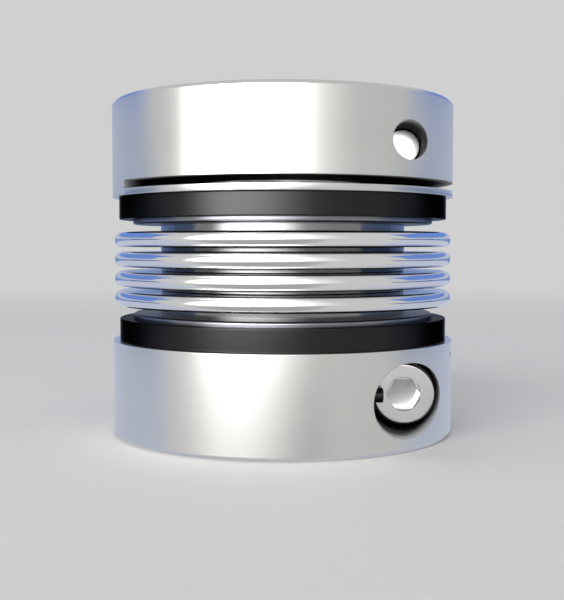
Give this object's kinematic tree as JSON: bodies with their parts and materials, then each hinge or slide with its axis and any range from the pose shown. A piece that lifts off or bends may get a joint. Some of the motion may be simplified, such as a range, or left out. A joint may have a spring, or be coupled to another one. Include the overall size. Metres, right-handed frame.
{
  "type": "metal bellows coupling",
  "caption": "Metal bellows shaft coupling with split clamping hubs, black bands, bright press rings and socket-head clamping screws.",
  "frame": {"origin": "centre of the lower end face, on the coupling's axis", "axes": "+Z along the coupling's axis from the lower hub to the upper hub; the clamping screws lie on the +X side and run along Y; -Y is the side that the picture shows"},
  "size_m": [0.049, 0.049, 0.047],
  "materials": {
    "hub": "satin turned",
    "band": "satin black",
    "press_ring": "bright turned",
    "bellows": "bright drawn stainless",
    "screw": "bright zinc plated",
    "pin": "black oxide"
  },
  "bodies": {
    "lower_hub": {"hub_lower": "hub", "band_ring_lower": "band", "press_ring_lower": "press_ring", "clamp_screw_lower": "screw", "opening_pin_lower": "pin"},
    "bellows": {"bellows": "bellows"},
    "upper_hub": {"hub_upper": "hub", "band_ring_upper": "band", "press_ring_upper": "press_ring", "clamp_screw_upper": "screw", "opening_pin_upper": "pin"}
  },
  "joints": [
    {"name": "bellows_bend", "type": "hinge", "parent": "lower_hub", "child": "bellows", "pos_m": [0, 0, 0.0235], "axis": [0, 1, 0], "range_deg": [-1.5, 1.5], "stiffness_Nm_per_rad": 6.6, "deforming": ["bellows"]},
    {"name": "bellows_stretch", "type": "slide", "parent": "bellows", "child": "upper_hub", "axis": [0, 0, 1], "range_m": [-0.001, 0.001], "stiffness_N_per_m": 30000, "deforming": ["bellows"]}
  ]
}
